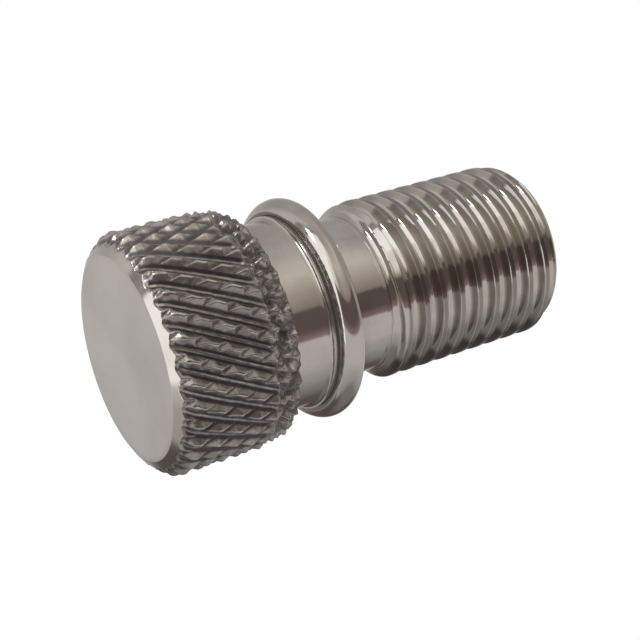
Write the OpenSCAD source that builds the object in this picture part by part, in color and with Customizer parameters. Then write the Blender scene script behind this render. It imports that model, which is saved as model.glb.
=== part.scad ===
// Thumb screw with a diamond-knurled head, a bead and a fine-pitch thread.
// One piece turned from bar. It stands on the flat face of its head: the
// axis is Z, the origin is the centre of that face and the thread points up.

/* [Head] */
// Diameter over the crests of the knurl
head_d = 14.26; // [13.4:0.02:18]
// Length of the head along the axis
head_len = 7.5; // [5:0.1:14]
// Diameter of the flat front face
face_d = 11.94; // [11:0.02:12.4]
// Length of the steep inner part of the front chamfer
chamfer_len = 0.54; // [0.3:0.02:1]
// Length of the shallow outer part of the front chamfer
chamfer_lip_len = 0.54; // [0.2:0.02:1]
// Drop of the shallow outer part of the front chamfer
chamfer_lip_drop = 0.19; // [0.05:0.01:0.4]
// Length of the bevel at the back of the head
bevel_len = 0.7; // [0.3:0.02:1.4]
// Drop of the bevel at the back of the head
bevel_drop = 0.36; // [0.1:0.01:0.6]

/* [Knurl] */
// Grooves around the head in each direction
knurl_count = 34; // [24:1:40]
// Helix angle of the grooves, measured at half their depth
knurl_angle = 28; // [20:0.5:40]
// Depth of the right-hand grooves
knurl_depth = 0.52; // [0.3:0.01:0.7]
// Depth of the left-hand grooves
cross_depth = 0.36; // [0.2:0.01:0.6]
// Depth of the small land worn on each diamond
land_drop = 0.05; // [0.02:0.01:0.1]
// Height above the front face of the diamond whose point lies on the X axis
first_point_z = 2.27; // [1:0.01:4]

/* [Neck and bead] */
// Diameter of the plain neck behind the head
neck_d = 11.2; // [10.4:0.05:11.3]
// Length of the plain neck
neck_len = 2.45; // [1.5:0.05:6]
// Radius of the fillet at the end of the neck
neck_fillet = 0.25; // [0.1:0.01:0.3]
// Length of the narrow land between the fillet and the bead
land_len = 0.23; // [0.1:0.01:0.4]
// Width of the fine groove at the foot of the bead
seam_w = 0.12; // [0.06:0.01:0.2]
// Radius of the rounded bead
bead_r = 0.84; // [0.5:0.02:1.2]
// Diameter over the bead
bead_d = 13.36; // [12.6:0.02:15]
// Distance from the top of the bead to its flat back face
bead_back = 0.49; // [0.2:0.01:0.8]

/* [Thread] */
// Diameter over the thread
thread_d = 10.94; // [10.4:0.02:12]
// Length from the back of the bead to the end of the screw
shank_len = 15.08; // [8:0.1:40]
// Pitch of the thread
thread_pitch = 1.27; // [1:0.01:1.5]
// Width of the crest of the thread
crest_w = 0.3; // [0.1:0.01:0.4]
// Width of the flat root of the thread
root_w = 0.18; // [0.1:0.01:0.3]
// Included angle of the thread
thread_angle = 60; // [55:1:60]
// Length of the plain relief between the bead and the thread
relief_len = 2.53; // [2:0.01:4]
// Clearance of the relief below the root of the thread
relief_gap = 0.04; // [0.03:0.01:0.2]
// Length of the lead cone at the start of the thread
lead_len = 1.9; // [1:0.1:3]
// Length of the chamfer at the end of the thread
end_chamfer_len = 0.65; // [0.3:0.05:1.2]
// Depth of the chamfer at the end of the thread
end_chamfer_depth = 0.48; // [0.2:0.02:0.8]

/* [Hidden] */

// Facets of the round surfaces
$fn = 128;
// Overlap that carries one form into the next
join = 0.5;

// Heights along the axis
neck_end_z = head_len + neck_len;
bead_foot_z = neck_end_z + neck_fillet + land_len;
bead_z = bead_foot_z + bead_r;
bead_back_z = bead_z + bead_back;
total_len = bead_back_z + shank_len;
lead_z = bead_back_z + relief_len;

// Radii
head_r = head_d / 2;
neck_r = neck_d / 2;
bead_centre_r = bead_d / 2 - bead_r;
thread_r = thread_d / 2;

// Knurl: the angle between grooves, their turn in degrees per millimetre along
// the axis, and a lattice whose cells are a quarter of a groove's spacing
knurl_step = 360 / knurl_count;
knurl_mean_r = head_r - knurl_depth / 2;
knurl_slope = tan(knurl_angle) / knurl_mean_r * 180 / PI;
cells_per_groove = 4;
knurl_cols = cells_per_groove * knurl_count;
knurl_row_h = knurl_step / knurl_slope / cells_per_groove;
knurl_rows_below = ceil((first_point_z + join) / knurl_row_h);
knurl_rows_above = ceil((head_len - first_point_z + join) / knurl_row_h);
knurl_rows = knurl_rows_below + knurl_rows_above;

// Thread groove: it runs in from the relief and out past the end of the screw
flank_run = tan(thread_angle / 2);
groove_depth = (thread_pitch - crest_w - root_w) / 2 / flank_run;
root_r = thread_r - groove_depth;
relief_r = root_r - relief_gap;
groove_over = 0.12;
steps_per_turn = 48;
run_in = 1.1 * thread_pitch;
run_out = 0.6 * thread_pitch;
groove_start_z = lead_z - run_in;
groove_count = ceil((total_len + run_out - groove_start_z) / thread_pitch * steps_per_turn);

// Depth of one family of knurl grooves, from the distance to its nearest ridge in steps
function knurl_cut(steps, depth) = depth * 2 * abs(steps - round(steps));

// Radius of the knurl where both families of grooves cross
function knurl_r(angle, rise) =
    head_r + land_drop - max(
        knurl_cut((angle - knurl_slope * rise) / knurl_step, knurl_depth),
        knurl_cut((angle + knurl_slope * rise) / knurl_step, cross_depth));

// Corner of the knurl lattice
function knurl_point(col, row) =
    let (
        angle = col * 360 / knurl_cols,
        rise = (row - knurl_rows_below) * knurl_row_h,
        r = knurl_r(angle, rise))
    [r * cos(angle), r * sin(angle), first_point_z + rise];

// Index of a corner in the list of points
function knurl_index(col, row) = row * knurl_cols + col % knurl_cols;

// Two triangles of one cell, split along the ridge or valley that crosses it
function knurl_cell(col, row) =
    let (
        a = knurl_index(col, row),
        b = knurl_index(col + 1, row),
        c = knurl_index(col + 1, row + 1),
        d = knurl_index(col, row + 1))
    (col + row + knurl_rows_below) % 2 == 0
        ? [[a, c, b], [a, d, c]]
        : [[a, d, b], [b, d, c]];

// Section of the thread groove at one step along its helix
function groove_section(step) =
    let (
        angle = step * 360 / steps_per_turn,
        z = groove_start_z + step * thread_pitch / steps_per_turn,
        outer_r = thread_r + groove_over,
        outer_w = root_w / 2 + (outer_r - root_r) * flank_run)
    [for (corner = [[outer_r, -outer_w], [outer_r, outer_w], [root_r, root_w / 2], [root_r, -root_w / 2]])
        [corner[0] * cos(angle), corner[0] * sin(angle), z + corner[1]]];

// Two triangles between neighbouring sections, on one side of the groove
function groove_side(step, side) =
    let (
        a = step * 4 + side,
        b = step * 4 + (side + 1) % 4)
    [[a, b, a + 4], [b, b + 4, a + 4]];

// Solid bounded by the ridges and valleys of the knurl, longer than the head
module knurl_form() {
    corners = [for (row = [0 : knurl_rows]) for (col = [0 : knurl_cols - 1]) knurl_point(col, row)];
    bottom_z = corners[0][2];
    top_z = corners[knurl_rows * knurl_cols][2];
    bottom = len(corners);
    top = bottom + 1;
    sides = [
        for (row = [0 : knurl_rows - 1])
            for (col = [0 : knurl_cols - 1])
                each knurl_cell(col, row)
    ];
    bottom_cap = [
        for (col = [0 : knurl_cols - 1])
            [bottom, knurl_index(col, 0), knurl_index(col + 1, 0)]
    ];
    top_cap = [
        for (col = [0 : knurl_cols - 1])
            [top, knurl_index(col + 1, knurl_rows), knurl_index(col, knurl_rows)]
    ];
    polyhedron(concat(corners, [[0, 0, bottom_z], [0, 0, top_z]]), concat(sides, bottom_cap, top_cap));
}

// Turned blank of the head, with its front chamfer and back bevel
module head_blank() {
    rotate_extrude()
        polygon([
            [0, 0],
            [face_d / 2, 0],
            [head_r - chamfer_lip_drop, chamfer_len],
            [head_r, chamfer_len + chamfer_lip_len],
            [head_r, head_len - bevel_len],
            [head_r - bevel_drop, head_len],
            [0, head_len]
        ]);
}

module knurled_head() {
    intersection() {
        head_blank();
        knurl_form();
    }
}

// Half section of the neck, its fillet and the bead
module neck_and_bead() {
    rotate_extrude()
        difference() {
            union() {
                translate([0, head_len - join])
                    square([neck_r, bead_back_z - head_len + join]);
                difference() {
                    translate([0, neck_end_z])
                        square([neck_r + neck_fillet, bead_z - neck_end_z]);
                    translate([neck_r + neck_fillet, neck_end_z])
                        circle(neck_fillet);
                }
                intersection() {
                    translate([bead_centre_r, bead_z])
                        circle(bead_r);
                    translate([0, bead_z - bead_r])
                        square([bead_d, bead_r + bead_back]);
                }
            }
            translate([neck_r + neck_fillet, bead_foot_z])
                circle(seam_w);
        }
}

// Shank before threading: relief, lead cone, thread blank and end chamfer
module shank_blank() {
    rotate_extrude()
        polygon([
            [0, bead_back_z - join],
            [relief_r, bead_back_z - join],
            [relief_r, lead_z],
            [thread_r, lead_z + lead_len],
            [thread_r, total_len - end_chamfer_len],
            [thread_r - end_chamfer_depth, total_len],
            [0, total_len]
        ]);
}

// Helical groove of the right-hand thread
module thread_groove() {
    points = [for (step = [0 : groove_count]) each groove_section(step)];
    last = groove_count * 4;
    sides = [
        for (step = [0 : groove_count - 1])
            for (side = [0 : 3])
                each groove_side(step, side)
    ];
    caps = [[0, 2, 1], [0, 3, 2], [last, last + 1, last + 2], [last, last + 2, last + 3]];
    polyhedron(points, concat(sides, caps));
}

module threaded_shank() {
    difference() {
        shank_blank();
        thread_groove();
    }
}

module thumb_screw() {
    color("silver")
        union() {
            knurled_head();
            neck_and_bead();
            threaded_shank();
        }
}

thumb_screw();
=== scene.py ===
"""Looks of a turned steel thumb screw: knurled head, plain neck, bead and fine thread.

The screw stands on the face of its head with its axis along Z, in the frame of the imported
part. It is drawn as three closed meshes that reach into each other. The knurl and the
thread follow a rule, so Geometry Nodes make them; the neck and the bead are lathed.
"""

import logging
import math
from dataclasses import dataclass
from enum import Enum, IntEnum

import bmesh
import bpy
from mathutils import Matrix, Vector


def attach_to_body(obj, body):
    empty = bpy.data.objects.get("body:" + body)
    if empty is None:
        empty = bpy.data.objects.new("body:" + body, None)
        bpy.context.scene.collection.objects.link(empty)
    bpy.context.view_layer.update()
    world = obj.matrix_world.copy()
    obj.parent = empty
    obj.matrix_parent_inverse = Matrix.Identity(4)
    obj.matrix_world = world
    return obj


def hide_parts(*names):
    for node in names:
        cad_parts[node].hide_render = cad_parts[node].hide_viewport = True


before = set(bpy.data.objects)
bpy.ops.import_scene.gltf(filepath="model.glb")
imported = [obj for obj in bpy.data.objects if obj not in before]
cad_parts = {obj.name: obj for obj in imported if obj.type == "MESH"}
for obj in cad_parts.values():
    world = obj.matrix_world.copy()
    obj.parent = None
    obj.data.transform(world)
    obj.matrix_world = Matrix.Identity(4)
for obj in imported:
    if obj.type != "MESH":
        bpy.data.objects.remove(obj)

LOG = logging.getLogger("thumb_screw")
NODE = "thumb_screw"
MM = 0.001
HALF_TURN = 180.0
FULL_TURN = 360.0
AXIS = Vector((0, 0, 1))
WHITE = (1.0, 1.0, 1.0, 1.0)
WELD = 2e-6
# The named attribute that holds how much painted shade each point gets
PAINTED_SHADE = "painted_shade"
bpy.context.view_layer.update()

Span = tuple[float, float]
Outline = list[Span]
Stops = tuple[tuple[float, str], ...]
Inputs = dict[int | str, object]


def linear(code: str) -> tuple[float, float, float, float]:
    """Turns an sRGB colour into the linear one that shaders take.

    Args:
        code: The colour as six hex digits.

    Returns:
        Red, green, blue and an alpha of 1.
    """
    shares = [int(code[at:at + 2], 16) / 255 for at in (0, 2, 4)]
    bent = [s / 12.92 if s <= 0.04045 else ((s + 0.055) / 1.055) ** 2.4 for s in shares]
    return (bent[0], bent[1], bent[2], 1.0)


def add_node(
    tree: bpy.types.NodeTree, kind: str, inputs: Inputs | None = None, **settings: object,
) -> bpy.types.Node:
    """Adds a node, sets it up and feeds its inputs.

    Args:
        tree: The tree that gets the node.
        kind: The node's type name.
        inputs: What each input takes, by its name or number: a quantity, a socket or a value.
        settings: Properties of the node.

    Returns:
        The new node.
    """
    node = tree.nodes.new(kind)
    for name, setting in settings.items():
        setattr(node, name, setting)
    for key, value in (inputs or {}).items():
        if isinstance(value, Quantity):
            value = value.socket
        if isinstance(value, bpy.types.NodeSocket):
            tree.links.new(value, node.inputs[key])
        else:
            node.inputs[key].default_value = value
    return node


@dataclass(frozen=True)
class Quantity:
    """A number that varies over a surface, held as a node's output."""

    socket: bpy.types.NodeSocket

    def apply(self, operation: str, *others: "Quantity | float") -> "Quantity":
        """Gives the quantity after one Math node.

        Args:
            operation: The node's operation.
            others: The second and third operand, where it has them.

        Returns:
            The node's result.
        """
        operands = dict(enumerate((self, *others)))
        node = add_node(self.socket.id_data, "ShaderNodeMath", operands, operation=operation)
        return Quantity(node.outputs[0])

    def folded(self) -> "Quantity":
        """An angle in degrees, brought between -180 and 180."""
        return (self + HALF_TURN).apply("FLOORED_MODULO", FULL_TURN) - HALF_TURN

    def wave(self) -> "Quantity":
        """0 at every whole number, rising evenly to 1 halfway to the next."""
        return self.apply("PINGPONG", 0.5) * 2

    def rest(self, weight: float = 1.0) -> "Quantity":
        """What is left of 1 when this quantity, so weighted, is taken away."""
        return self * -weight + 1

    def toward(self, other: "Quantity", share: "Quantity") -> "Quantity":
        """The quantity brought towards another by a share of the way."""
        return self + (other - self) * share

    def __add__(self, other: "Quantity | float") -> "Quantity":
        """The sum with another quantity."""
        return self.apply("ADD", other)

    def __sub__(self, other: "Quantity | float") -> "Quantity":
        """The difference from another quantity."""
        return self.apply("SUBTRACT", other)

    def __mul__(self, other: "Quantity | float") -> "Quantity":
        """The product with another quantity."""
        return self.apply("MULTIPLY", other)

    def __truediv__(self, other: "Quantity | float") -> "Quantity":
        """The share of another quantity."""
        return self.apply("DIVIDE", other)


class Course(Enum):
    """How a quantity gets from one value to the next."""

    EASED = "SMOOTHSTEP"
    STRAIGHT = "LINEAR"


def ramp(
    value: Quantity, start: float, end: float, low: float = 0.0, high: float = 1.0,
    course: Course = Course.EASED,
) -> Quantity:
    """Carries a quantity from one value to another, and holds it beyond.

    Args:
        value: What is watched.
        start: Where the change starts.
        end: Where it ends.
        low: The result up to the start.
        high: The result from the end on.
        course: How it changes between them.

    Returns:
        The result.
    """
    inputs: Inputs = {0: value, 1: start, 2: end, 3: low, 4: high}
    node = add_node(value.socket.id_data, "ShaderNodeMapRange", inputs, interpolation_type=course.value)
    return Quantity(node.outputs[0])


def around(place: float, width: float) -> Span:
    """The two ends of a soft edge of that width."""
    return (place - width / 2, place + width / 2)


def band(value: Quantity, start: Span, end: Span) -> Quantity:
    """Gives 1 within a band, easing to 0 over its two edges.

    Args:
        value: What is watched.
        start: Where the band fades in.
        end: Where it fades out.

    Returns:
        The mask.
    """
    return ramp(value, *start) * ramp(value, *end, 1.0, 0.0)


def split(place: bpy.types.NodeSocket) -> tuple[Quantity, Quantity, Quantity]:
    """Takes a vector apart.

    Args:
        place: The vector.

    Returns:
        Its x, y and z.
    """
    x, y, z = add_node(place.id_data, "ShaderNodeSeparateXYZ", {0: place}).outputs
    return Quantity(x), Quantity(y), Quantity(z)


def mix(factor: Quantity, first: object, second: object, label: str) -> bpy.types.NodeSocket:
    """Mixes two colours.

    Args:
        factor: The share of the second one.
        first: A colour, or the output that gives it.
        second: Another.
        label: What the mix is for.

    Returns:
        The mixed colour.
    """
    node = add_node(factor.socket.id_data, "ShaderNodeMix", {
        "Factor": factor, "A": first, "B": second,
    }, data_type="RGBA", label=label)
    return node.outputs[2]


def add_object(name: str, data: bpy.types.ID) -> bpy.types.Object:
    """Puts a mesh, a lamp or a camera into the scene.

    Args:
        name: The object's name.
        data: What it shows.

    Returns:
        The object.
    """
    added = bpy.data.objects.new(name, data)
    bpy.context.scene.collection.objects.link(added)
    return added


@dataclass(frozen=True)
class Unevenness:
    """A random change: how wide its lumps are in millimetres, its pattern, and how strong it is."""

    grain: float
    seed: float
    strength: float
    torn_gain: float = 0.0
    detail: float = 2.0


class Shaping:
    """A Geometry Nodes tree that is run once over a mesh and turned into plain geometry."""

    def __init__(self, name: str, sizes: dict[str, float]) -> None:
        """Opens a tree with one input for each size.

        Args:
            name: Name of the tree.
            sizes: The inputs' names and values.
        """
        self.tree = bpy.data.node_groups.new(name, "GeometryNodeTree")
        self.sizes = sizes
        face = self.tree.interface
        face.new_socket("Geometry", in_out="INPUT", socket_type="NodeSocketGeometry")
        self.keys = {label: self.open_input(label) for label in sizes}
        face.new_socket("Geometry", in_out="OUTPUT", socket_type="NodeSocketGeometry")
        self.start = add_node(self.tree, "NodeGroupInput")

    def open_input(self, label: str) -> str:
        """Adds a number input.

        Args:
            label: The input's name.

        Returns:
            The socket's identifier.
        """
        socket = self.tree.interface.new_socket(label, in_out="INPUT", socket_type="NodeSocketFloat")
        return socket.identifier

    def size(self, label: str) -> Quantity:
        """The tree's input of that name."""
        return Quantity(self.start.outputs[label])

    def position(self) -> bpy.types.NodeSocket:
        """Where each point of the mesh is."""
        return add_node(self.tree, "GeometryNodeInputPosition").outputs[0]

    def place(self) -> tuple[Quantity, Quantity, Quantity]:
        """Reads where each point is.

        Returns:
            Its turn about the axis in degrees, its radius and its height, both in millimetres.
        """
        x, y, z = (part / MM for part in split(self.position()))
        turn = y.apply("ARCTAN2", x).apply("DEGREES")
        radius = (x * x + y * y).apply("SQRT")
        return turn, radius, z

    def noise(self, uneven: Unevenness) -> Quantity:
        """Gives even noise about zero.

        Args:
            uneven: What it is for.

        Returns:
            A quantity of about -0.5 to 0.5, not yet made as strong as it should be.
        """
        node = add_node(self.tree, "ShaderNodeTexNoise", {
            "Vector": self.position(), "W": uneven.seed,
            "Scale": 1 / (uneven.grain * MM), "Detail": uneven.detail,
        }, noise_dimensions="4D")
        return Quantity(node.outputs[0]) - 0.5

    def cells(self, grain: float) -> Quantity:
        """Gives packed chips with flat sides.

        Args:
            grain: Width of a chip in millimetres.

        Returns:
            0 at a chip's tip, rising evenly to the crack between it and the next.
        """
        node = add_node(self.tree, "ShaderNodeTexVoronoi", {
            "Vector": self.position(), "Scale": 1 / (grain * MM),
        }, feature="F1", distance="MANHATTAN")
        return Quantity(node.outputs["Distance"])

    def point(self, turn: Quantity, radius: Quantity, z: Quantity) -> bpy.types.NodeSocket:
        """Places a point from its turn, radius and height.

        Args:
            turn: Degrees about the axis.
            radius: Millimetres from the axis.
            z: Millimetres above the face of the head.

        Returns:
            The place in metres.
        """
        angle = turn.apply("RADIANS")
        x = angle.apply("COSINE") * radius * MM
        y = angle.apply("SINE") * radius * MM
        return add_node(self.tree, "ShaderNodeCombineXYZ", {"X": x, "Y": y, "Z": z * MM}).outputs[0]

    def close(self, place: bpy.types.NodeSocket, painted_shade: Quantity, material: bpy.types.Material) -> None:
        """Ends the tree: stores the painted shade, moves the points, welds the seams and dresses the result.

        Args:
            place: Where each point goes, in metres.
            painted_shade: How much painted shade it gets, for the finish to read.
            material: The finish.
        """
        shade_painted = add_node(self.tree, "GeometryNodeStoreNamedAttribute", {
            "Geometry": self.start.outputs[0], "Name": PAINTED_SHADE, "Value": painted_shade,
        }, data_type="FLOAT", domain="POINT")
        moved = add_node(self.tree, "GeometryNodeSetPosition", {
            "Geometry": shade_painted.outputs[0], "Position": place,
        })
        welded = add_node(self.tree, "GeometryNodeMergeByDistance", {
            "Geometry": moved.outputs[0], "Distance": WELD,
        })
        smooth = add_node(self.tree, "GeometryNodeSetShadeSmooth", {"Geometry": welded.outputs[0]})
        real = add_node(self.tree, "GeometryNodeRealizeInstances", {"Geometry": smooth.outputs[0]})
        dressed = add_node(self.tree, "GeometryNodeSetMaterial", {
            "Geometry": real.outputs[0], "Material": material,
        })
        add_node(self.tree, "NodeGroupOutput", {"Geometry": dressed.outputs[0]})

    def run(self, name: str, mesh: bpy.types.Mesh) -> bpy.types.Object:
        """Runs the tree over a mesh.

        Args:
            name: Name of the piece.
            mesh: What the tree starts from.

        Returns:
            An object with the plain result and no modifier.
        """
        piece = add_object(name, mesh)
        modifier = piece.modifiers.new(self.tree.name, "NODES")
        modifier.node_group = self.tree
        for label, value in self.sizes.items():
            modifier[self.keys[label]] = float(value)
        shaped = piece.evaluated_get(bpy.context.evaluated_depsgraph_get())
        plain = bpy.data.meshes.new_from_object(shaped)
        piece.modifiers.clear()
        piece.data = plain
        return piece


def sheet(columns: int, rows: int) -> bpy.types.Mesh:
    """Makes a flat grid that a tree rolls up: x runs once round, and y counts rows.

    Args:
        columns: Faces round the axis.
        rows: Faces along the axis.

    Returns:
        The grid, x from 0 to 1 and y from 0 to the number of rows.
    """
    mesh = bpy.data.meshes.new("sheet")
    points = [(c / columns, r, 0.0) for r in range(rows + 1) for c in range(columns + 1)]
    corners = [r * (columns + 1) + c for r in range(rows) for c in range(columns)]
    faces = [(a, a + 1, a + columns + 2, a + columns + 1) for a in corners]
    mesh.from_pydata(points, [], faces)
    return mesh


def arc(centre: tuple[float, float], radius: float, start: float, end: float, steps: int) -> Outline:
    """Points along an arc of a half section.

    Args:
        centre: Radius and height of its centre.
        radius: Its radius.
        start: Angle of its first point in degrees; 0 points outwards and 90 up.
        end: Angle of its last point.
        steps: Number of chords.

    Returns:
        The points, both ends included.
    """
    angles = [math.radians(start + (end - start) * step / steps) for step in range(steps + 1)]
    return [(centre[0] + radius * math.cos(a), centre[1] + radius * math.sin(a)) for a in angles]


def finely(outline: Outline, step: float) -> Outline:
    """Divides an outline's sides so that none is longer than a step.

    Args:
        outline: Corners of the half section.
        step: The longest side allowed.

    Returns:
        The outline with the added points.
    """
    points = [outline[0]]
    for (r0, z0), (r1, z1) in zip(outline, outline[1:]):
        count = max(1, math.ceil(math.hypot(r1 - r0, z1 - z0) / step))
        points += [(r0 + (r1 - r0) * k / count, z0 + (z1 - z0) * k / count) for k in range(1, count + 1)]
    return points


def lathe(name: str, outline: Outline, columns: int) -> bpy.types.Mesh:
    """Turns a half section about the axis into a closed mesh.

    Args:
        name: Name of the mesh.
        outline: Radius and height of each point in millimetres, from the axis back to it.
        columns: Faces round the axis.

    Returns:
        The mesh, in metres.
    """
    work = bmesh.new()
    angles = [2 * math.pi * c / columns for c in range(columns)]
    rings = []
    for r, z in outline:
        turns = angles if r > 0 else [0.0]
        rings.append([work.verts.new((r * math.cos(a) * MM, r * math.sin(a) * MM, z * MM)) for a in turns])
    for lower, upper in zip(rings, rings[1:]):
        for c in range(columns):
            d = (c + 1) % columns
            corners = [
                lower[c % len(lower)], lower[d % len(lower)],
                upper[d % len(upper)], upper[c % len(upper)],
            ]
            work.faces.new(list(dict.fromkeys(corners)))
    mesh = bpy.data.meshes.new(name)
    work.to_mesh(mesh)
    work.free()
    return mesh


class Grain(Enum):
    """Which way the tool marks run on a turned surface."""

    ROUND_THE_BAR = "height"
    ACROSS_THE_FACE = "radius"


@dataclass(frozen=True)
class ShadePaint:
    """Painted shade, laid wherever the painted_shade attribute of a piece says."""

    colour: str
    hiding: float
    dulling: float


@dataclass(frozen=True)
class TurnedSteel:
    """Bright stainless steel as a tool leaves it. Its marks and stains are sized in millimetres."""

    name: str
    colour: str
    shade: str
    roughness: Span
    grain: Grain
    mark: float
    mark_depth: float
    stain: float
    shade_paint: ShadePaint
    mark_detail: float = 3.0
    stain_detail: float = 4.0
    stain_edges: Span = (0.35, 0.7)
    mark_share: float = 0.6
    rough_edges: Span = (0.3, 0.7)

    def make(self) -> bpy.types.Material:
        """Builds the finish, or finds it where another piece already wears it.

        Returns:
            The material.
        """
        made = bpy.data.materials.get(self.name)
        if made:
            return made
        material = bpy.data.materials.new(self.name)
        material.use_nodes = True
        tree = material.node_tree
        shader = tree.nodes["Principled BSDF"]
        marks, stains = self.patterns(tree)
        painted_shade = Quantity(add_node(tree, "ShaderNodeAttribute", attribute_name=PAINTED_SHADE).outputs["Fac"])
        metal = mix(ramp(stains, *self.stain_edges), linear(self.colour), linear(self.shade), "stains")
        # Painted shade: the attribute darkens the colour towards the shade paint, takes away metal and adds
        # roughness
        shade_painted = mix(painted_shade, metal, linear(self.shade_paint.colour), "shade_paint")
        tree.links.new(shade_painted, shader.inputs["Base Color"])
        shader.inputs["Metallic"].default_value = 1.0
        if self.shade_paint.hiding:
            bare = (painted_shade * painted_shade).rest(self.shade_paint.hiding)
            tree.links.new(bare.socket, shader.inputs["Metallic"])
        blend = marks * self.mark_share + stains * (1 - self.mark_share)
        rough = ramp(blend, *self.rough_edges, *self.roughness) + painted_shade * self.shade_paint.dulling
        tree.links.new(rough.socket, shader.inputs["Roughness"])
        bump = add_node(tree, "ShaderNodeBump", {
            "Strength": 1.0, "Distance": self.mark_depth * MM, "Height": marks,
        })
        tree.links.new(bump.outputs[0], shader.inputs["Normal"])
        return material

    def patterns(self, tree: bpy.types.NodeTree) -> tuple[Quantity, Quantity]:
        """Draws the tool marks and the stains.

        Args:
            tree: The material's tree.

        Returns:
            The marks and the stains, each about 0 to 1.
        """
        place = add_node(tree, "ShaderNodeTexCoord").outputs["Object"]
        x, y, z = (part / MM for part in split(place))
        radius = (x * x + y * y).apply("SQRT")
        along = z if self.grain is Grain.ROUND_THE_BAR else radius
        marks = add_node(tree, "ShaderNodeTexNoise", {
            "W": along / self.mark, "Scale": 1.0, "Detail": self.mark_detail,
        }, noise_dimensions="1D")
        stains = add_node(tree, "ShaderNodeTexNoise", {
            "Vector": place, "Scale": 1 / (self.stain * MM), "Detail": self.stain_detail,
        })
        return Quantity(marks.outputs[0]), Quantity(stains.outputs[0])


# A facing tool leaves a satin disc whose fine rings blur what it mirrors into one pale grey
FACED_STEEL = TurnedSteel(
    name="faced_stainless_steel", colour="E2DDD8", shade="D6D1CC", roughness=(0.30, 0.36),
    grain=Grain.ACROSS_THE_FACE, mark=0.05, mark_depth=0.0004, stain=6.0,
    shade_paint=ShadePaint(colour="403B38", hiding=0.85, dulling=0.3),
)
# A finishing cut leaves the neck and the bead nearly a mirror, with faint lines round the bar; painted shade
# darkens the seam between them
BRIGHT_STEEL = TurnedSteel(
    name="bright_turned_stainless_steel", colour="E0DCD5", shade="D3CDC5", roughness=(0.07, 0.13),
    grain=Grain.ROUND_THE_BAR, mark=0.08, mark_depth=0.0005, stain=3.0,
    shade_paint=ShadePaint(colour="5A524D", hiding=0.4, dulling=0.3),
)
# The threading tool leaves bright flanks that glint in thin lines; painted shade darkens the crests, one
# flank and the underside
THREAD_STEEL = TurnedSteel(
    name="thread_cut_stainless_steel", colour="E0DCD5", shade="D2CCC4", roughness=(0.05, 0.09),
    grain=Grain.ROUND_THE_BAR, mark=0.05, mark_depth=0.0005, stain=2.0,
    shade_paint=ShadePaint(colour="736E6A", hiding=0.0, dulling=0.04),
)
# Knurling wheels press the metal into pyramids: bright slopes, with painted shade low down in the grooves
# and in the cracks
KNURLED_STEEL = TurnedSteel(
    name="knurled_stainless_steel", colour="E0DBD5", shade="BAB3AD", roughness=(0.09, 0.16),
    grain=Grain.ROUND_THE_BAR, mark=0.3, mark_depth=0.002, stain=0.6,
    shade_paint=ShadePaint(colour="443E3D", hiding=0.55, dulling=0.12),
)


@dataclass(frozen=True)
class TornBand:
    """Back of the knurl, where the wheels tore the metal into chips and cracks, with painted shade in the
    cracks.

    The band starts and is full so many millimetres before the back of the head. Gains and
    losses are shares that apply where it is full.
    """

    start: float = 1.75
    full: float = 1.15
    edge: Unevenness = Unevenness(grain=1.1, seed=5.0, strength=0.9)
    chip: float = 0.6
    chip_depth: float = 0.5
    left_under_chips: float = 0.45
    right_loss: float = 0.8
    left_width: float = 1.15
    left_gain: float = 0.5
    crack: Span = (0.5, 0.85)
    crack_shade: float = 0.8
    shade_loss: float = 0.7


@dataclass(frozen=True)
class WornAndShadedSide:
    """Side of the knurl that fingers wear most: flattened crests. Away from the top of the lying screw,
    painted shade darkens the knurl as a thin coat and deeper in the grooves.

    Its middle and its inner and outer borders are in degrees about the axis.
    """

    turn: float = -92.0
    inner: float = 34.0
    outer: float = 46.0
    land_share: float = 0.35
    sharp_gain: float = 0.3
    shade_film: float = 0.45
    shade_film_depth: float = 0.05
    shade_gain: float = 0.15


@dataclass(frozen=True)
class Condition:
    """State of the knurl at a point, each quantity from 0 to 1."""

    torn: Quantity
    sharp: Quantity
    shaded_side: Quantity
    front: Quantity
    end: Quantity


class HeadSlot(IntEnum):
    """Which finish a face of the head wears."""

    KNURL = 0
    FACED = 1
    CHAMFER = 2


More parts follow.
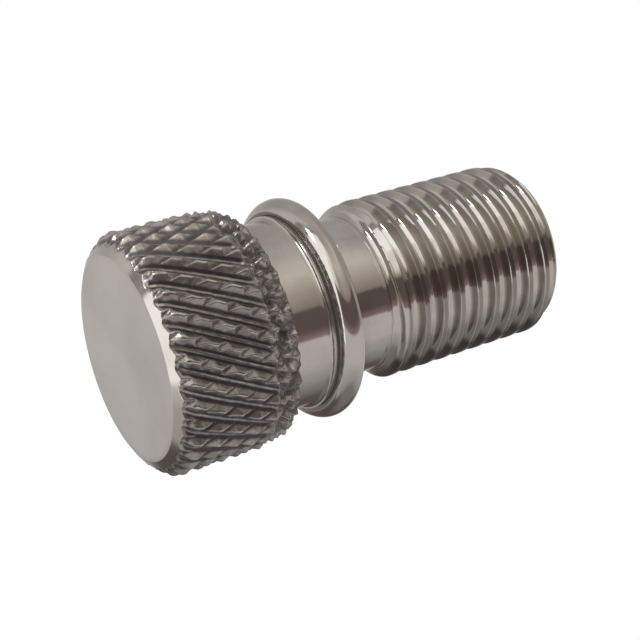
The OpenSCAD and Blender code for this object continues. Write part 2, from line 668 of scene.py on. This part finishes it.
@dataclass
class KnurledHead:
    """Head pressed with crossed grooves, with a chamfered front and a bevelled back.

    Lengths are in millimetres, and the slope is in degrees about the axis for each of them. A
    span says where a change starts and ends.
    """

    radius: float = 7.13
    length: float = 7.5
    face_radius: float = 5.97
    face_break: Span = (0.04, 0.015)
    edge_radius: float = 6.94
    chamfer_length: float = 0.54
    lip_length: float = 0.54
    bevel_length: float = 0.7
    bevel_drop: float = 0.28
    grooves: int = 34
    slope: float = 4.40
    point_z: float = 2.267
    right_depth: float = 0.50
    left_depth: float = 0.34
    right_lag: float = -0.9
    floor_share: float = 0.16
    land: float = 0.05
    blend: float = 0.03
    pressed_from: float = 0.15
    front_fade: Span = (0.25, 0.9)
    front_drop: float = 0.55
    front_loss: float = 0.6
    end_loss: float = 0.5
    wander: Unevenness = Unevenness(grain=1.5, seed=3.0, strength=0.07, torn_gain=0.25)
    depth: Unevenness = Unevenness(grain=1.6, seed=11.0, strength=0.5)
    surface: Unevenness = Unevenness(grain=0.45, seed=7.0, strength=0.14, torn_gain=0.04)
    torn: TornBand = TornBand()
    worn_and_shaded: WornAndShadedSide = WornAndShadedSide()
    shade_depth: Span = (0.36, 0.6)
    floor_shade: float = 0.35
    shaded_from: float = 0.02
    flat: float = 0.01
    face_rings: tuple[float, ...] = (0.0, 2.5, 4.5, 5.6)
    back_rings: tuple[float, ...] = (5.95, 3.0, 0.0)
    columns: int = 680
    step: float = 0.064

    def outline(self) -> Outline:
        """Half section of the turned blank, finely divided where the knurl goes.

        Returns:
            Its points.
        """
        inset, rise = self.face_break
        face = [(ring, 0.0) for ring in (*self.face_rings, self.face_radius - inset)]
        side = [
            (self.face_radius, rise),
            (self.edge_radius, self.chamfer_length),
            (self.radius, self.chamfer_length + self.lip_length),
            (self.radius, self.length - self.bevel_length),
            (self.radius - self.bevel_drop, self.length),
        ]
        back = [(ring, self.length) for ring in self.back_rings]
        return face + finely(side, self.step) + back

    def condition(self, shaping: Shaping, turn: Quantity, z: Quantity) -> Condition:
        """Tells where the knurl is torn, sharp or on the side that gets painted shade, and where it fades
        out.

        Args:
            shaping: The knurl's tree.
            turn: Degrees about the axis.
            z: Millimetres above the face.

        Returns:
            The condition.
        """
        ragged = z + shaping.noise(self.torn.edge) * self.torn.edge.strength
        beside = (turn - self.worn_and_shaded.turn).folded()
        return Condition(
            torn=ramp(ragged, self.length - self.torn.start, self.length - self.torn.full),
            sharp=ramp(beside.apply("ABSOLUTE"), self.worn_and_shaded.inner, self.worn_and_shaded.outer),
            shaded_side=ramp(beside, -self.worn_and_shaded.outer, -self.worn_and_shaded.inner),
            front=ramp(z, *self.front_fade, 1.0, 0.0),
            end=ramp(z, self.length - self.bevel_length, self.length),
        )

    def families(
        self, shaping: Shaping, turn: Quantity, z: Quantity, torn: Quantity,
    ) -> tuple[Quantity, Quantity]:
        """Lays the two families of grooves round the head.

        Args:
            shaping: The knurl's tree.
            turn: Degrees about the axis.
            z: Millimetres above the face.
            torn: How torn the knurl is.

        Returns:
            The right-hand and the left-hand family: 0 on a ridge and 1 in a valley.
        """
        wander = shaping.noise(self.wander) * (torn * self.wander.torn_gain + self.wander.strength)
        rise = (z - shaping.size("Point Z")) * shaping.size("Slope")
        steps = shaping.size("Grooves") / FULL_TURN
        right = ((turn - rise - shaping.size("Right Lag")) * steps + wander).wave()
        left = ((turn + rise) * steps + wander).wave()
        return right, left

    def cut(self, shaping: Shaping, right: Quantity, left: Quantity, at: Condition) -> Quantity:
        """Gives the depth that the wheels leave below the crests.

        Args:
            shaping: The knurl's tree.
            right: The right-hand family.
            left: The left-hand family.
            at: The knurl's condition.

        Returns:
            Millimetres.
        """
        floored = (right / (1 - self.floor_share)).apply("MINIMUM", 1.0)
        right_cut = floored * shaping.size("Right Depth") * at.torn.rest(self.torn.right_loss)
        land = at.sharp.rest() * self.worn_and_shaded.land_share
        notch = (left - land).apply("MAXIMUM", 0.0) / land.rest()
        deeper = at.torn * self.torn.left_gain + at.sharp * self.worn_and_shaded.sharp_gain + 1
        uneven = shaping.noise(self.depth) * self.depth.strength + 1
        left_cut = notch.toward(left * self.torn.left_width, at.torn) * shaping.size("Left Depth")
        left_cut = left_cut * deeper * uneven
        chips = shaping.cells(self.torn.chip) * self.torn.chip_depth + left_cut * self.torn.left_under_chips
        rough = shaping.noise(self.surface) * (at.torn * self.surface.torn_gain + self.surface.strength)
        pressed = right_cut.apply("SMOOTH_MAX", left_cut, self.blend).toward(chips, at.torn)
        return (pressed + rough) * at.end.rest(self.end_loss) * at.front.rest(self.front_loss)

    def painted_shade(self, shaping: Shaping, right: Quantity, drop: Quantity, at: Condition) -> Quantity:
        """Paints shade low in the grooves and in the cracks, and a thin coat of painted shade on the shaded
        side.

        Args:
            shaping: The knurl's tree.
            right: The right-hand family, whose floor gets less painted shade.
            drop: Millimetres below the blank.
            at: The knurl's condition.

        Returns:
            The painted shade, from 0 to 1.
        """
        low = ramp(drop / shaping.size("Right Depth"), *self.shade_depth)
        floor = ramp(right, 1 - self.floor_share, 1 - self.floor_share / 2, 1.0, self.floor_shade)
        side = at.shaded_side * self.worn_and_shaded.shade_gain + (1 - self.worn_and_shaded.shade_gain)
        shade_in_grooves = low * floor * at.torn.rest(self.torn.shade_loss) * side
        cracked = ramp(shaping.cells(self.torn.chip), *self.torn.crack) * at.torn * self.torn.crack_shade
        shade_film = at.shaded_side * ramp(drop, 0.0, self.worn_and_shaded.shade_film_depth) * self.worn_and_shaded.shade_film
        return shade_in_grooves.apply("MAXIMUM", cracked).apply("MAXIMUM", shade_film)

    def knurl(self) -> Shaping:
        """Presses right-hand and left-hand grooves into the blank.

        Returns:
            The tree.
        """
        shaping = Shaping("knurl", {
            "Grooves": self.grooves, "Slope": self.slope, "Point Z": self.point_z,
            "Crest": self.radius + self.land, "Right Lag": self.right_lag,
            "Right Depth": self.right_depth, "Left Depth": self.left_depth,
        })
        turn, radius, z = shaping.place()
        at = self.condition(shaping, turn, z)
        right, left = self.families(shaping, turn, z, at.torn)
        cut = self.cut(shaping, right, left, at)
        knurled = shaping.size("Crest") - cut - at.front * self.front_drop - at.end * self.bevel_drop
        pressed = radius.apply("SMOOTH_MIN", knurled, self.blend)
        reached = ramp(radius, self.face_radius, self.face_radius + self.pressed_from)
        shaped = radius.toward(pressed, reached)
        painted_shade = self.painted_shade(shaping, right, radius - shaped, at)
        shaping.close(shaping.point(turn, shaped, z), painted_shade, KNURLED_STEEL.make())
        return shaping

    def slot(self, polygon: bpy.types.MeshPolygon, shade_painted: bool) -> HeadSlot:
        """Chooses the finish of one face of the head.

        Args:
            polygon: The face.
            shade_painted: Whether it gets painted shade.

        Returns:
            Its slot.
        """
        radius, z = polygon.center.xy.length / MM, polygon.center.z / MM
        if z > self.length - self.flat or (z < self.flat and radius < self.face_radius):
            return HeadSlot.FACED
        return HeadSlot.CHAMFER if z < self.chamfer_length and not shade_painted else HeadSlot.KNURL

    def build(self) -> bpy.types.Object:
        """Makes the head and dresses its face apart from its knurl.

        Returns:
            The finished piece.
        """
        piece = self.knurl().run("knurled_head", lathe("head_blank", self.outline(), self.columns))
        piece.data.materials.append(FACED_STEEL.make())
        piece.data.materials.append(BRIGHT_STEEL.make())
        painted_shade = piece.data.attributes[PAINTED_SHADE].data
        for polygon in piece.data.polygons:
            shade_painted = max(painted_shade[vertex].value for vertex in polygon.vertices) > self.shaded_from
            polygon.material_index = self.slot(polygon, shade_painted)
        return piece


@dataclass
class NeckAndBead:
    """Plain neck that runs through a small fillet and a fine seam into a rounded bead.

    The seam's corners are measured from the radius of the land and from the bead's foot.
    """

    start_z: float = 7.0
    neck_radius: float = 5.6
    neck_end_z: float = 9.95
    neck_straight: float = 0.1
    fillet: float = 0.25
    fillet_steps: int = 8
    seam_z: float = 10.43
    seam: tuple[Span, ...] = ((0.0, -0.07), (-0.09, -0.03), (-0.03, 0.02))
    seam_shade_span: Span = (-0.08, 0.03)
    seam_shade_radius: float = 5.7
    seam_shade: float = 0.75
    bead_radius: float = 0.84
    crown_radius: float = 6.68
    bead_foot: float = -84.0
    bead_steps: int = 30
    bead_back: float = 0.49
    edge_break: float = 4.0
    edge_radius: float = 0.03
    edge_reach: float = 0.66
    edge_start: float = 30.0
    edge_steps: int = 3
    back_ring: float = 4.9
    sharp_angle: float = 30.0
    columns: int = 288

    def outline(self) -> Outline:
        """Half section from the neck inside the head to the bead's flat back.

        Returns:
            Its points.
        """
        land = self.neck_radius + self.fillet
        bead_z = self.seam_z + self.bead_radius
        centre = (self.crown_radius - self.bead_radius, bead_z)
        top = math.degrees(math.asin(self.bead_back / self.bead_radius))
        back_z = bead_z + self.bead_back
        neck = [
            (0.0, self.start_z),
            (self.neck_radius, self.start_z),
            (self.neck_radius, self.neck_end_z - self.neck_straight),
        ]
        fillet = arc((land, self.neck_end_z), self.fillet, 180, 90, self.fillet_steps)
        seam = [(land + off, self.seam_z + rise) for off, rise in self.seam]
        bead = arc(centre, self.bead_radius, self.bead_foot, top - self.edge_break, self.bead_steps)
        edge_centre = (centre[0] + self.edge_reach, back_z - self.edge_radius)
        edge = arc(edge_centre, self.edge_radius, self.edge_start, 90, self.edge_steps)
        return neck + fillet + seam + bead + edge + [(self.back_ring, back_z), (0.0, back_z)]

    def build(self) -> bpy.types.Object:
        """Makes the neck and the bead.

        Returns:
            The finished piece.
        """
        mesh = lathe("neck_and_bead", self.outline(), self.columns)
        mesh.shade_smooth()
        mesh.set_sharp_from_angle(angle=math.radians(self.sharp_angle))
        mesh.materials.append(BRIGHT_STEEL.make())
        # Painted shade: a dark line is painted into the seam between the neck and the bead
        low, high = self.seam_shade_span
        shade_paint = mesh.attributes.new(PAINTED_SHADE, "FLOAT", "POINT")
        for vertex, spot in zip(mesh.vertices, shade_paint.data):
            outside = vertex.co.xy.length > self.seam_shade_radius * MM
            in_seam = outside and low < vertex.co.z / MM - self.seam_z < high
            spot.value = self.seam_shade if in_seam else 0.0
        return add_object("neck_and_bead", mesh)


@dataclass(frozen=True)
class Rise:
    """Stretch of the shank over which its radius grows evenly, in millimetres."""

    start_z: float
    end_z: float
    gain: float


@dataclass(frozen=True)
class ThreadPaintedShade:
    """Where painted shade darkens and dulls the thread: its crests, a corner of the lead and one flank, more
    on its underside.

    The corner is given in millimetres along the axis and the underside in degrees round it.
    """

    crest: float = 0.6
    crest_clear: Span = (0.03, 0.07)
    crest_full: Span = (0.06, 0.01)
    corner: float = 0.4
    corner_start: Span = (14.72, 14.75)
    corner_end: Span = (14.79, 14.82)
    flank: float = 0.4
    flank_start: Span = (0.02, 0.08)
    flank_depth: float = 0.03
    underside: float = 0.3
    underside_start: Span = (276.0, 292.0)
    underside_end: Span = (338.0, 358.0)


@dataclass
class ThreadedShank:
    """Shank with a plain relief behind the bead, a stepped lead and a right-hand thread."""

    start_z: float = 11.3
    end_z: float = 26.84
    relief_radius: float = 4.746
    lead: tuple[Rise, ...] = (
        Rise(14.56, 14.66, 0.054),
        Rise(14.86, 15.05, 0.14),
        Rise(15.05, 15.19, 0.25),
        Rise(15.22, 15.6, 0.28),
    )
    radius: float = 5.47
    pitch: float = 1.27
    groove_z: float = 12.72
    root: float = 0.30
    root_rise: float = 0.22
    depth: float = 0.70
    flank_angle: float = 61.5
    root_blend: float = 0.03
    flank_blend: float = 0.04
    crest_blend: float = 0.02
    chamfer_length: float = 0.65
    chamfer_depth: float = 0.48
    shade_paint: ThreadPaintedShade = ThreadPaintedShade()
    sharp_angle: float = 44.0
    columns: int = 224
    rows_per_turn: int = 32
    spare_rows: int = 2

    def rows(self) -> int:
        """Rows of faces that cover the shank on every side of the helix."""
        turns = (self.end_z - self.start_z) / self.pitch + 1
        return math.ceil(turns * self.rows_per_turn) + 2 * self.spare_rows

    def blank(self, z: Quantity) -> Quantity:
        """Gives the radius of the shank before it is threaded.

        Args:
            z: Millimetres above the face of the head.

        Returns:
            Millimetres.
        """
        gains = [ramp(z, rise.start_z, rise.end_z, 0.0, rise.gain, Course.STRAIGHT) for rise in self.lead]
        cone = sum(gains[1:], gains[0] + self.relief_radius)
        chamfer_z = self.end_z - self.chamfer_length
        tip_radius = self.radius - self.chamfer_depth
        tail = ramp(z, chamfer_z, self.end_z, self.radius, tip_radius, Course.STRAIGHT)
        return cone.apply("MINIMUM", tail)

    def groove(self, shaping: Shaping, away: Quantity) -> Quantity:
        """Gives the radius of the endless groove.

        Args:
            shaping: The thread's tree.
            away: Millimetres along the axis from the near corner of the groove's root.

        Returns:
            Millimetres, which go beyond the crest.
        """
        size = shaping.size
        steep = math.tan(math.radians(self.flank_angle))
        near = away * -steep
        root = away * size("Root Rise") / size("Root")
        far = (away - size("Root")) * steep + size("Root Rise")
        lowest = near.apply("SMOOTH_MAX", root, self.root_blend)
        return lowest.apply("SMOOTH_MAX", far, self.flank_blend) + (size("Radius") - size("Depth"))

    def painted_shade(
        self, turn: Quantity, z: Quantity, away: Quantity, groove: Quantity, blank: Quantity,
    ) -> Quantity:
        """Paints shade on the crests, the corner of the lead and the flank that faces the head, more on the
        underside.

        Args:
            turn: Degrees about the axis.
            z: Millimetres above the face of the head.
            away: Millimetres along the axis from the near corner of the groove's root.
            groove: Radius of the groove.
            blank: Radius of the shank before it is threaded.

        Returns:
            The painted shade, from 0 to 1.
        """
        shade_paint = self.shade_paint
        inset, full = shade_paint.crest_full
        whole = ramp(blank, self.radius - inset, self.radius - full)
        crest = ramp(groove - blank, *shade_paint.crest_clear) * whole
        corner = band(z, shade_paint.corner_start, shade_paint.corner_end)
        start, end = shade_paint.flank_start
        flank = ramp(away, self.root + start, self.root + end) * ramp(blank - groove, 0.0, shade_paint.flank_depth)
        under = band(turn, shade_paint.underside_start, shade_paint.underside_end)
        spots = (crest * shade_paint.crest).apply("MAXIMUM", corner * shade_paint.corner)
        return spots.apply("MAXIMUM", flank * (under * shade_paint.underside + shade_paint.flank))

    def thread(self) -> Shaping:
        """Rolls a sheet up along the helix and cuts the groove into it.

        Returns:
            The tree.
        """
        shaping = Shaping("thread", {
            "Radius": self.radius, "Pitch": self.pitch, "Groove Z": self.groove_z, "Root": self.root,
            "Root Rise": self.root_rise, "Depth": self.depth, "Start Z": self.start_z, "End Z": self.end_z,
        })
        size = shaping.size
        share, row, _ = split(shaping.position())
        turn = share * FULL_TURN
        climb = size("Pitch") * (row / self.rows_per_turn + share - 1 - self.spare_rows / self.rows_per_turn)
        z = (size("Start Z") + climb).apply("MAXIMUM", size("Start Z")).apply("MINIMUM", size("End Z"))
        phase = (z - size("Groove Z")) / size("Pitch") - share
        away = phase.apply("WRAP", 0.5, -0.5) * size("Pitch") + size("Root") / 2
        groove = self.groove(shaping, away)
        blank = self.blank(z)
        inner_row = row.apply("GREATER_THAN", 0.5) * row.apply("LESS_THAN", self.rows() - 0.5)
        cut = groove.apply("SMOOTH_MIN", blank, self.crest_blend) * inner_row
        painted_shade = self.painted_shade(turn, z, away, groove, blank)
        shaping.close(shaping.point(turn, cut, z), painted_shade, THREAD_STEEL.make())
        return shaping

    def build(self) -> bpy.types.Object:
        """Makes the shank.

        Returns:
            The finished piece.
        """
        piece = self.thread().run("threaded_shank", sheet(self.columns, self.rows()))
        piece.data.set_sharp_from_angle(angle=math.radians(self.sharp_angle))
        return piece


@dataclass(frozen=True)
class Panel:
    """A lit or dark board that the steel mirrors, placed by where it is seen from the screw."""

    name: str
    colour: str
    turn: Span
    rise: Span
    edge: float
    strength: float = 1.0


@dataclass
class Studio:
    """White surroundings, boards for the steel to mirror, a pale floor and the camera.

    Turns run round the level of the lying screw and rises above it, both in degrees. The
    camera's place, lens and sensor are in millimetres, and the other lengths are in metres.
    """

    side: Vector = Vector((0.549, -0.836, 0.0))
    above: Vector = Vector((-0.836, -0.549, 0.0))
    camera_place: Vector = Vector((1.018, -77.544, -27.489))
    camera_right: Vector = Vector((0.2883, -0.4384, 0.8512))
    camera_up: Vector = Vector((-0.9575, -0.1320, 0.2563))
    lens: float = 82.16
    sensor_width: float = 36.0
    clip_start: float = 0.005
    lamp_turn: float = 207.0
    lamp_rise: float = 45.0
    lamp_distance: float = 0.5
    lamp_radius: float = 0.055
    lamp_energy: float = 0.95
    floor_half: float = 3.0
    floor_drop: float = 5e-5
    floor_colour: str = "EDEBE8"
    floor_roughness: float = 0.8
    near_share: Span = (-0.25, 0.15)
    near_wall: Stops = (
        (-90, "797776"), (-64, "7F7B7A"), (-55, "9E9C9D"), (-46, "ABA8A9"), (-36, "BEBBBA"), (-8, "C4BCBE"),
        (-6, "857372"), (-2, "7B6867"), (3, "5F5150"), (24, "5D5351"), (27, "8F867F"), (41, "AAA19A"),
        (50, "BDB5AC"), (58, "CFCAC3"), (75, "BDB7B3"), (90, "ACA7A4"),
    )
    far_wall: Stops = (
        (-90, "797776"), (-65, "575150"), (-52, "5A5452"), (-44, "A29E9C"), (-28, "C5C3C3"), (-13, "B7B4B3"),
        (9, "A3A0A0"), (30, "A7A5A5"), (50, "B0ABAA"), (60, "B7B1AE"), (90, "ACA7A4"),
    )
    panels: tuple[Panel, ...] = (
        Panel("end_wall", "A39E99", turn=(-40, 28), rise=(-12, 52), edge=8),
        Panel("low_card", "ACA8A6", turn=(-180, -156), rise=(-56, -30), edge=8),
        Panel("soft_wall", "C9C5C2", turn=(-165, -118), rise=(-20, 60), edge=24),
        Panel("window_top", "F2EDE6", turn=(140, 200), rise=(27, 72), edge=9),
        Panel("window", "FFFFFF", turn=(160, 213), rise=(-21, 72), edge=5, strength=1.1),
        Panel("window_bar", "8F8B89", turn=(209, 213), rise=(-21, 72), edge=2),
        Panel("window_side", "9A9593", turn=(213, 217), rise=(-21, 72), edge=2),
        Panel("window_frame", "8F8B89", turn=(217, 224), rise=(-21, 72), edge=3),
    )

    def light(self) -> None:
        """Sets the world: white where the camera looks through, boards where metal mirrors."""
        world = bpy.data.worlds.new("studio")
        bpy.context.scene.world = world
        world.use_nodes = True
        tree = world.node_tree
        way = add_node(tree, "ShaderNodeTexCoord").outputs["Generated"]
        ahead, aside, upward = (self.share(way, axis) for axis in (AXIS, self.side, self.above))
        turn = aside.apply("ARCTAN2", ahead).apply("DEGREES")
        rise = upward.apply("ARCSINE").apply("DEGREES")
        far, near = (self.wall(rise, stops) for stops in (self.far_wall, self.near_wall))
        colour = mix(ramp(aside, *self.near_share), far, near, "walls")
        for panel in self.panels:
            shade = tuple(channel * panel.strength for channel in linear(panel.colour))
            colour = mix(self.seen(panel, turn, rise), colour, shade, panel.name)
        glossy = Quantity(add_node(tree, "ShaderNodeLightPath").outputs["Is Glossy Ray"])
        seen = mix(glossy, WHITE, colour, "mirrored only")
        tree.links.new(seen, tree.nodes["Background"].inputs["Color"])

    def wall(self, rise: Quantity, stops: Stops) -> bpy.types.NodeSocket:
        """Grades a wall from the floor to the ceiling.

        Args:
            rise: Direction above the level, in degrees.
            stops: Degrees and colour at each step of the grading.

        Returns:
            The colour.
        """
        share = (rise + HALF_TURN / 2) / HALF_TURN
        graded = add_node(rise.socket.id_data, "ShaderNodeValToRGB", {"Fac": share})
        elements = graded.color_ramp.elements
        while len(elements) < len(stops):
            elements.new(1.0)
        for element, (degrees, colour) in zip(elements, stops):
            element.position = (degrees + HALF_TURN / 2) / HALF_TURN
            element.color = linear(colour)
        return graded.outputs["Color"]

    def share(self, way: bpy.types.NodeSocket, axis: Vector) -> Quantity:
        """Gives how far a direction points along an axis.

        Args:
            way: The direction.
            axis: The axis.

        Returns:
            A quantity of -1 to 1.
        """
        inputs: Inputs = {0: way, 1: tuple(axis)}
        node = add_node(way.id_data, "ShaderNodeVectorMath", inputs, operation="DOT_PRODUCT")
        return Quantity(node.outputs["Value"])

    def seen(self, panel: Panel, turn: Quantity, rise: Quantity) -> Quantity:
        """Gives 1 inside a panel, easing to 0 at its edge.

        Args:
            panel: The panel.
            turn: Direction round the level.
            rise: Direction above the level.

        Returns:
            The mask.
        """
        middle = (panel.turn[0] + panel.turn[1]) / 2
        off = (turn - middle).folded().apply("ABSOLUTE")
        sides = ramp(off, *around(panel.turn[1] - middle, panel.edge), 1.0, 0.0)
        return sides * band(rise, around(panel.rise[0], panel.edge), around(panel.rise[1], panel.edge))

    def hang_lamp(self) -> None:
        """Hangs a small bright lamp whose mirror image is the glint on every turned edge."""
        turn, rise = math.radians(self.lamp_turn), math.radians(self.lamp_rise)
        level = self.side * math.sin(turn) + AXIS * math.cos(turn)
        way = level * math.cos(rise) + self.above * math.sin(rise)
        data = bpy.data.lights.new("lamp", "POINT")
        data.shadow_soft_size = self.lamp_radius
        data.energy = self.lamp_energy
        lamp = add_object("lamp", data)
        lamp.location = way * self.lamp_distance
        lamp.visible_camera = False

    def floor_paint(self) -> bpy.types.Material:
        """Makes a pale matt paint that only a camera above it sees.

        Returns:
            The material.
        """
        material = bpy.data.materials.new("pale_floor")
        material.use_nodes = True
        tree = material.node_tree
        shader = tree.nodes["Principled BSDF"]
        shader.inputs["Base Color"].default_value = linear(self.floor_colour)
        shader.inputs["Roughness"].default_value = self.floor_roughness
        camera = Quantity(add_node(tree, "ShaderNodeLightPath").outputs["Is Camera Ray"])
        below = Quantity(add_node(tree, "ShaderNodeNewGeometry").outputs["Backfacing"])
        clear = add_node(tree, "ShaderNodeBsdfTransparent")
        shown = add_node(tree, "ShaderNodeMixShader", {
            0: camera * below.rest(), 1: clear.outputs[0], 2: shader.outputs[0],
        })
        tree.links.new(shown.outputs[0], tree.nodes["Material Output"].inputs["Surface"])
        return material

    def lay_floor(self) -> None:
        """Lays the floor just below the face of the head."""
        half, level = self.floor_half, -self.floor_drop
        mesh = bpy.data.meshes.new("floor")
        corners = [(x * half, y * half, level) for x, y in ((-1, -1), (1, -1), (1, 1), (-1, 1))]
        mesh.from_pydata(corners, [], [(0, 1, 2, 3)])
        mesh.materials.append(self.floor_paint())
        floor = add_object("floor", mesh)

    def aim_camera(self) -> None:
        """Puts the camera in front of the face of the head, low and to one side."""
        data = bpy.data.cameras.new("camera")
        data.lens = self.lens
        data.sensor_width = self.sensor_width
        data.clip_start = self.clip_start
        camera = add_object("camera", data)
        back = self.camera_right.cross(self.camera_up).normalized()
        turned = Matrix((self.camera_right, self.camera_up, back)).transposed().to_4x4()
        camera.matrix_world = Matrix.Translation(self.camera_place * MM) @ turned
        bpy.context.scene.camera = camera

    def build(self) -> None:
        """Sets the whole studio up."""
        self.light()
        self.hang_lamp()
        self.lay_floor()
        self.aim_camera()
        bpy.context.scene.view_settings.view_transform = "Standard"


def attach(piece: bpy.types.Object) -> None:
    """Lets a piece ride on the screw's body and stand for its solid.

    Args:
        piece: The finished piece.
    """
    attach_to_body(piece, "root")
    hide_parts(NODE)
    count = sum(len(polygon.vertices) - 2 for polygon in piece.data.polygons)
    LOG.info("%s: %d triangles", piece.name, count)


def main() -> None:
    """Builds the studio, then the screw from its head to its thread."""
    logging.basicConfig(level=logging.INFO)
    Studio().build()
    for part in (KnurledHead(), NeckAndBead(), ThreadedShank()):
        attach(part.build())


if __name__ == "__main__":
    main()
